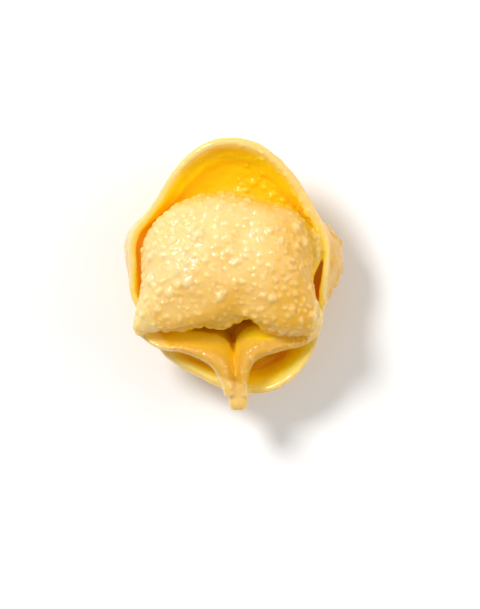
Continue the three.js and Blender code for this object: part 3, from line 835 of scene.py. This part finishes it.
def one_skin(voxel):
    """The whole piece as one smooth skin, with the navel pressed in."""
    pieces = [
        loft("brim", brim()),
        loft("collar", collar()),
        loft("belly", belly()),
        loft("plug", plug()),
        loft("left_tip", tip(LEFT_TIP)),
        loft("right_tip", tip(RIGHT_TIP)),
        loft("foot", foot()),
    ]
    select_only(*pieces)
    bpy.ops.object.join()
    apply_modifier(bpy.context.object, "REMESH", mode="VOXEL", voxel_size=voxel)
    bpy.ops.mesh.separate(type="LOOSE")
    *strays, piece = sorted(bpy.context.selected_objects, key=lambda part: len(part.data.vertices))
    for stray in strays:
        bpy.data.objects.remove(stray)
    piece.name = "dough"
    apply_modifier(piece, "SMOOTH", factor=0.5, iterations=SKIN_SMOOTHING)
    hollow = piece.vertex_groups.new(name="hollow")
    for k, weight in enumerate(in_hollow(piece)):
        hollow.add([k], weight, "REPLACE")
    apply_modifier(piece, "SMOOTH", factor=0.5, iterations=HOLLOW_SMOOTHING, vertex_group="hollow")
    raise_by(piece, "navel", navel_depth(piece), direction="Z")
    return piece


def blister(piece, height):
    """Raises all of the dough's blisters and returns their spots."""
    points = coordinates(piece)
    roughen(piece, "lumps", smoothstep(points[:, 2], *LUMPS["height"]), LUMPS["size"], LUMPS["depth"])
    belly_front = smoothstep(points[:, 2], BELLY_RIM, BELLY_RIM + WRINKLED_OVER)
    creased = belly_front * near(*points[:, :2].T, WRINKLES)
    roughen(piece, "wrinkles", creased, WRINKLES["size"], WRINKLES["depth"])
    skin = BVHTree.FromObject(piece, bpy.context.evaluated_depsgraph_get())
    large = belly_spots(BLISTERS)
    small = belly_spots(SMALL_BLISTERS, large, CROWDED_AT)
    fine = belly_spots(FINE_BLISTERS, [*large, *small])
    beside = satellites([*large, *small])
    spots = [*large, *small, *fine, *beside, *hood_spots(skin), *crest_spots(), *seam_spots()]
    raise_by(piece, "blisters", domes(piece, spots, height))
    broad = [*lip_spots(), *cheek_spots(), *ridge_spots()]
    raise_by(piece, "broad_blisters", domes(piece, broad, BROAD_HEIGHT))
    return spots


def to_metres(piece):
    """Scales the dough and sets it in the middle of its solid's box, past which nothing stands."""
    piece.scale = (MM, MM, MM)
    piece.location = (-MIDDLE[0] * MM, -MIDDLE[1] * MM, 0)
    select_only(piece)
    bpy.ops.object.transform_apply(location=True, rotation=True, scale=True)
    low, high = (np.array(corner) for corner in CAD_BOX)
    piece.data.vertices.foreach_set("co", np.clip(coordinates(piece), low, high).ravel())
    bpy.ops.object.shade_smooth()


def describe_skin(piece, spots):
    """Stores on the vertices what the dough's colour depends on, the masks of its painted shade, bounce
    yellow and glow among them.
    """
    points = coordinates(piece)
    x, y, z = points.T
    inside, below = beside_brim(points)
    lit = vertex_normals(piece) @ np.array(Vector(KEY_WAY).normalized())
    # Painted shade: on the tips, and where the skin turns away from the key light.
    tips = smoothstep(y, *TIPS_Y) * smoothstep(z, *TIPS_Z)
    away = np.maximum(smoothstep(lit, *PAINTED_SHADE_WHERE_LIT), TIPS_PAINTED_SHADE * tips)
    # Painted shade in the groove between the belly and the hood's inner wall.
    out = points[:, :2] - BELLY_MIDDLE
    edge = np.interp(np.arctan2(out[:, 1], out[:, 0]), outline_angle, outline_reach, period=2 * math.pi)
    beside_belly = smoothstep(np.linalg.norm(out, axis=1) - edge, *PAST_BELLY) * smoothstep(y, *ABOVE_LIP_Y)
    seam = beside_belly * smoothstep(inside, *INNER_SKIN_INSIDE)
    # Painted glow: the thin wall where the key light falls on its other side.
    wall = smoothstep(inside, *WALL_INSIDE) * smoothstep(y, *WALL_Y)
    through = wall * smoothstep(lit, *PAINTED_GLOW_WHERE_LIT)
    cut_edge = smoothstep(inside, *CUT_EDGE_INSIDE) * smoothstep(below, *CUT_EDGE_BELOW)
    # The wrinkled wet patch: glossier, and with a painted sheen in its colour.
    wet = near(x, y, WRINKLES) * smoothstep(z, BELLY_RIM, BELLY_RIM + WRINKLED_OVER)
    set_attribute(piece, "blister", domes(piece, spots, 1 / PALE_FROM))
    # The material paints bounce yellow and shade into the hollows from this openness.
    set_attribute(piece, "open", openness(piece))
    set_attribute(piece, "tips", tips)
    set_attribute(piece, "away", evened_out(piece, away, rounds=30))
    set_attribute(piece, "rim", cut_edge)
    set_attribute(piece, "outside", smoothstep(inside, *OUTER_SKIN_INSIDE))
    set_attribute(piece, "seam", evened_out(piece, seam, rounds=3))
    set_attribute(piece, "through", evened_out(piece, through, rounds=10))
    set_attribute(piece, "wet", wet)


class Value:
    """A number of a material that varies over the surface; arithmetic on it adds Math nodes."""

    def __init__(self, material, socket):
        self.material = material
        self.socket = socket

    def math(self, operation, first, second):
        return self.material.value("Math", {"operation": operation}, {0: first, 1: second})

    def __add__(self, other):
        return self.math("ADD", self, other)

    def __radd__(self, other):
        return self.math("ADD", other, self)

    def __sub__(self, other):
        return self.math("SUBTRACT", self, other)

    def __rsub__(self, other):
        return self.math("SUBTRACT", other, self)

    def __mul__(self, other):
        return self.math("MULTIPLY", self, other)

    def __rmul__(self, other):
        return self.math("MULTIPLY", other, self)

    def clamped(self):
        return self.material.value("Clamp", {}, {"Value": self})


class Finish:
    """A material and what its node tree is built with."""

    def __init__(self, name):
        self.material = bpy.data.materials.new(name)
        self.material.use_nodes = True
        self.tree = self.material.node_tree
        self.tree.nodes.clear()
        self.place = self.node("TexCoord", {}, {}).outputs["Object"]

    def node(self, kind, settings, inputs):
        """Adds a node: its settings are set first, then its sockets' values or links."""
        made = self.tree.nodes.new("ShaderNode" + kind)
        for name, setting in settings.items():
            setattr(made, name, setting)
        for name, given in inputs.items():
            source = given.socket if isinstance(given, Value) else given
            if isinstance(source, bpy.types.NodeSocket):
                self.tree.links.new(source, made.inputs[name])
            else:
                made.inputs[name].default_value = source
        return made

    def value(self, kind, settings, inputs, output=0):
        return Value(self, self.node(kind, settings, inputs).outputs[output])

    def attribute(self, name):
        return self.value("Attribute", {"attribute_name": name}, {}, "Fac")

    def noise(self, size, detail=3):
        """Noise from 0 to 1, with lumps of that size in millimetres."""
        inputs = {"Vector": self.place, "Scale": 1 / (size * MM), "Detail": detail}
        return self.value("TexNoise", {}, inputs)

    def mix(self, factor, under, over):
        """Colour over, laid on colour under by that factor."""
        return self.node("Mix", {"data_type": "RGBA"}, {0: factor, 6: under, 7: over}).outputs[2]

    def skin(self, inputs):
        return self.node("BsdfPrincipled", {}, inputs).outputs[0]

    def closed(self, shader):
        """The material, with its tree closed by that shader."""
        self.node("OutputMaterial", {}, {"Surface": shader})
        return self.material


def egg_dough(look):
    """Moist dough: cream where it is open, golden painted shade where it turns away from the key light,
    painted bounce yellow and shade in its hollows, and a painted glow where thin dough is lit from its other
    side.
    """
    finish = Finish("egg_dough")
    shut = 1 - finish.attribute("open")
    away = finish.attribute("away")
    seam = finish.attribute("seam")
    tips = finish.attribute("tips")
    wet_patch_and_painted_sheen = finish.attribute("wet")
    blistered = finish.attribute("blister").clamped()
    mottle = finish.noise(2.5)
    grain = finish.noise(0.35)
    # How shut in the dough lies, less on the tips: the mask of the painted bounce yellow in the hollows, and
    # of the thin dough's deeper glow.
    hollow = (2.4 * shut - 0.25 - 0.7 * tips).clamped()
    base = finish.mix((1.8 * mottle - 0.4).clamped(), look.cream, look.straw)
    # Paler outside of the brim, and a painted sheen on the wrinkled wet patch.
    base = finish.mix((0.8 * finish.attribute("outside") + 0.35 * wet_patch_and_painted_sheen).clamped(), base, look.pale)
    # Painted shade: golden where the skin turns away from the key light.
    base = finish.mix(away, base, look.painted_shade_golden)
    # Deeper painted shade on the tips and the belly's lower part.
    base = finish.mix((0.25 * tips + 0.2 * away).clamped(), base, look.painted_deeper_shade)
    # Painted shade in the groove round the belly.
    base = finish.mix(0.9 * seam, base, look.deep)
    # Painted bounce light and shade: saturated yellow in the hollows.
    base = finish.mix(hollow, base, look.painted_bounce_and_glow_yellow)
    # Painted shade, deeper where the dough is most shut in.
    base = finish.mix((2.2 * shut - 1.2).clamped(), base, look.deep)
    base = finish.mix(finish.attribute("rim") * (0.35 + 0.6 * grain), base, look.cut_edge)
    # Paler blister tops, the dough's own colour; they are painted less pale in shade, where the skin turns
    # from the key light and in the shut-in hollows.
    base = finish.mix((0.5 - 0.25 * away - 0.6 * shut).clamped() * blistered, base, look.pale)
    wet = (3 * finish.noise(3.5) - 0.9 + wet_patch_and_painted_sheen).clamped()
    relief = 0.6 * grain + 0.4 * finish.noise(0.9)
    bump = finish.node("Bump", {}, {"Height": relief, "Strength": 0.4, "Distance": 0.12 * MM})
    # Painted glow: thin dough that the key light reaches from its other side is made to emit light.
    painted_glow_mask = (hollow + seam).clamped() * finish.attribute("through")
    both = {
        "Base Color": base,
        "Emission Color": finish.mix(painted_glow_mask, (0, 0, 0, 1), look.painted_bounce_and_glow_yellow),
        "Emission Strength": look.painted_glow_strength,
        "Roughness": look.roughness - 0.14 * blistered - 0.12 * wet_patch_and_painted_sheen + 0.12 * (grain - 0.5),
        "Normal": bump.outputs[0],
        "IOR": 1.42,
        "Subsurface Weight": look.glow,
        "Subsurface Radius": (1.0, 0.8, 0.12),
        "Coat Weight": look.wetness * (0.5 + 0.5 * wet),
        "Coat Roughness": 0.14,
    }
    firm = finish.skin({**both, "Subsurface Scale": look.firm_depth})
    thin = finish.skin({**both, "Subsurface Scale": look.thin_depth})
    return finish.closed(finish.node("MixShader", {}, {0: hollow, 1: firm, 2: thin}).outputs[0])


def floor_finish(colour):
    finish = Finish("floor")
    return finish.closed(finish.skin({"Base Color": (*colour, 1), "Roughness": 0.8}))


def screen(red, green, blue):
    """A colour of the screen, from 0 to 255, as the linear one that materials take."""
    shares = [c / 255 for c in (red, green, blue)]
    return [s / 12.92 if s <= 0.04 else ((s + 0.055) / 1.055) ** 2.4 for s in shares] + [1]


def swatch(name, description, *rgb):
    return bpy.props.FloatVectorProperty(
        name=name, description=description, subtype="COLOR", size=4, min=0, max=1, default=screen(*rgb),
    )


class DoughSettings(bpy.types.PropertyGroup):
    """What a user may change of the dough."""

    voxel: bpy.props.FloatProperty(
        name="Fineness", description="Size of the mesh's cells, in the millimetres it is modelled in",
        default=0.2, min=0.1, max=1,
    )
    blister_height: bpy.props.FloatProperty(
        name="Blister height", description="Height of a blister as a share of its radius",
        default=0.52, min=0, max=1, subtype="FACTOR",
    )
    fineness: bpy.props.FloatProperty(
        name="Faces kept", description="Share of the faces that stay once the blisters are raised",
        default=0.72, min=0.1, max=1, subtype="FACTOR",
    )
    # The dough's own colour; painted shade is laid over it where the skin turns from the key light.
    cream: swatch("Cream", "Dough that faces the light", 255, 221, 150)
    straw: swatch("Straw", "Patches on the open dough", 252, 210, 132)
    # Painted shade where the skin turns away from the key light.
    painted_shade_golden: swatch("Golden", "Dough that turns away", 245, 187, 34)
    # Deeper painted shade on the tips and the belly's lower part.
    painted_deeper_shade: swatch("Shade", "Tips and the belly's lower part", 200, 150, 30)
    # Painted bounce light and shade in the hollows, and the colour of the painted glow.
    painted_bounce_and_glow_yellow: swatch("Yolk", "Dough in the hollows", 255, 214, 8)
    # Painted shade at the bottom of folds and in the groove round the belly.
    deep: swatch("Deep", "Dough at the bottom of folds", 250, 196, 4)
    cut_edge: swatch("Cut edge", "Granular edge of the brim", 255, 218, 135)
    # Own colour of the blister tops and the brim's outside; on the wrinkled wet patch, a painted sheen.
    pale: swatch("Pale", "Tops of the blisters", 255, 238, 195)
    roughness: bpy.props.FloatProperty(
        name="Roughness", description="Roughness between the blisters",
        default=0.44, min=0, max=1, subtype="FACTOR",
    )
    wetness: bpy.props.FloatProperty(
        name="Wetness", description="Strength of the film of cooking water",
        default=0.85, min=0, max=1, subtype="FACTOR",
    )
    glow: bpy.props.FloatProperty(
        name="Glow", description="How much light seeps through the dough",
        default=0.8, min=0, max=1, subtype="FACTOR",
    )
    firm_depth: bpy.props.FloatProperty(
        name="Depth of glow", description="How far light seeps into the filled and open dough",
        default=0.0005, min=0, max=0.01, unit="LENGTH", precision=4,
    )
    thin_depth: bpy.props.FloatProperty(
        name="Depth in hollows", description="How far light seeps through the thin dough round the hollows",
        default=0.003, min=0, max=0.01, unit="LENGTH", precision=4,
    )
    # The painted glow: emission of thin dough lit from its other side.
    painted_glow_strength: bpy.props.FloatProperty(
        name="Seeping light", description="Glow of thin dough that is lit from its other side",
        default=0.4, min=0, max=1, subtype="FACTOR",
    )


class StudioSettings(bpy.types.PropertyGroup):
    """What a user may change of the studio."""

    floor_colour: bpy.props.FloatVectorProperty(
        name="Floor", description="Colour of the floor", subtype="COLOR", min=0, max=1,
        default=(0.98, 0.98, 0.98),
    )
    key_power: bpy.props.FloatProperty(
        name="Key light", description="Power of the soft light over the crown's left",
        default=1.5, min=0, unit="POWER",
    )
    fill_power: bpy.props.FloatProperty(
        name="Fill light", description="Power of the broad light from the right",
        default=0.7, min=0, unit="POWER",
    )
    sky: bpy.props.FloatProperty(
        name="Sky", description="Strength of the even light from all round", default=0.45, min=0, max=2,
    )
    camera_distance: bpy.props.FloatProperty(
        name="Camera distance", description="From the camera down to the middle of the piece",
        default=1.5, min=0.1, unit="LENGTH",
    )


def area_light(name, way, distance, size, power):
    """A round soft light that shines on the piece from that way."""
    way = Vector(way).normalized()
    bpy.ops.object.light_add(type="AREA", location=distance * way)
    lamp = bpy.context.object
    lamp.name = name
    lamp.rotation_euler = way.to_track_quat("Z", "Y").to_euler()
    lamp.data.shape = "DISK"
    lamp.data.size = size
    lamp.data.energy = power


class CAPPELLETTO_OT_dough(bpy.types.Operator):
    """Model the cappelletto as one skin of moist, blistered egg dough"""

    bl_idname = "cappelletto.dough"
    bl_label = "Cappelletto"

    def execute(self, context):
        look = context.scene.cappelletto_dough
        piece = one_skin(look.voxel)
        spots = blister(piece, look.blister_height)
        apply_modifier(piece, "DECIMATE", decimate_type="COLLAPSE", ratio=look.fineness)
        describe_skin(piece, spots)
        to_metres(piece)
        piece.data.materials.clear()
        piece.data.materials.append(egg_dough(look))
        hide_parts(NODE)
        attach(piece, "root")
        return {"FINISHED"}


class CAPPELLETTO_OT_studio(bpy.types.Operator):
    """Set up the pale floor, the soft lights and the camera above the piece"""

    bl_idname = "cappelletto.studio"
    bl_label = "Studio"

    def execute(self, context):
        studio = context.scene.cappelletto_studio
        bpy.ops.object.select_all(action="DESELECT")
        bpy.ops.mesh.primitive_plane_add(size=FLOOR_SIZE)
        floor = context.object
        floor.name = "floor"
        floor.data.materials.append(floor_finish(studio.floor_colour))
        area_light("key", KEY_WAY, KEY_DISTANCE, KEY_SIZE, studio.key_power)
        area_light("fill", FILL_WAY, FILL_DISTANCE, FILL_SIZE, studio.fill_power)
        world = bpy.data.worlds.new("studio")
        world.use_nodes = True
        sky = world.node_tree.nodes["Background"]
        sky.inputs["Color"].default_value = (1, 1, 1, 1)
        sky.inputs["Strength"].default_value = studio.sky
        context.scene.world = world
        context.scene.view_settings.view_transform = "Standard"
        height = VIEW_PLANE + studio.camera_distance
        bpy.ops.object.camera_add(location=(*VIEW_MIDDLE, height), rotation=(0, 0, 0))
        camera = context.object
        camera.name = "camera"
        camera.data.lens = camera.data.sensor_width * studio.camera_distance / VIEW_HEIGHT
        camera.data.clip_start = 0.01
        context.scene.camera = camera
        return {"FINISHED"}


class VIEW3D_PT_cappelletto(bpy.types.Panel):
    """The piece, its studio and their settings"""

    bl_label = "Cappelletto"
    bl_space_type = "VIEW_3D"
    bl_region_type = "UI"
    bl_category = "Cappelletto"

    def draw(self, context):
        for operator, settings in (
            (CAPPELLETTO_OT_dough, context.scene.cappelletto_dough),
            (CAPPELLETTO_OT_studio, context.scene.cappelletto_studio),
        ):
            box = self.layout.box()
            for name in settings.__annotations__:
                box.prop(settings, name)
            box.operator(operator.bl_idname)


CLASSES = (
    DoughSettings, StudioSettings, CAPPELLETTO_OT_dough, CAPPELLETTO_OT_studio, VIEW3D_PT_cappelletto,
)


def register():
    for cls in CLASSES:
        bpy.utils.register_class(cls)
    bpy.types.Scene.cappelletto_dough = bpy.props.PointerProperty(type=DoughSettings)
    bpy.types.Scene.cappelletto_studio = bpy.props.PointerProperty(type=StudioSettings)


def unregister():
    del bpy.types.Scene.cappelletto_studio
    del bpy.types.Scene.cappelletto_dough
    for cls in reversed(CLASSES):
        bpy.utils.unregister_class(cls)


def main():
    register()
    bpy.ops.cappelletto.dough()
    bpy.ops.cappelletto.studio()


if __name__ == "__main__":
    main()
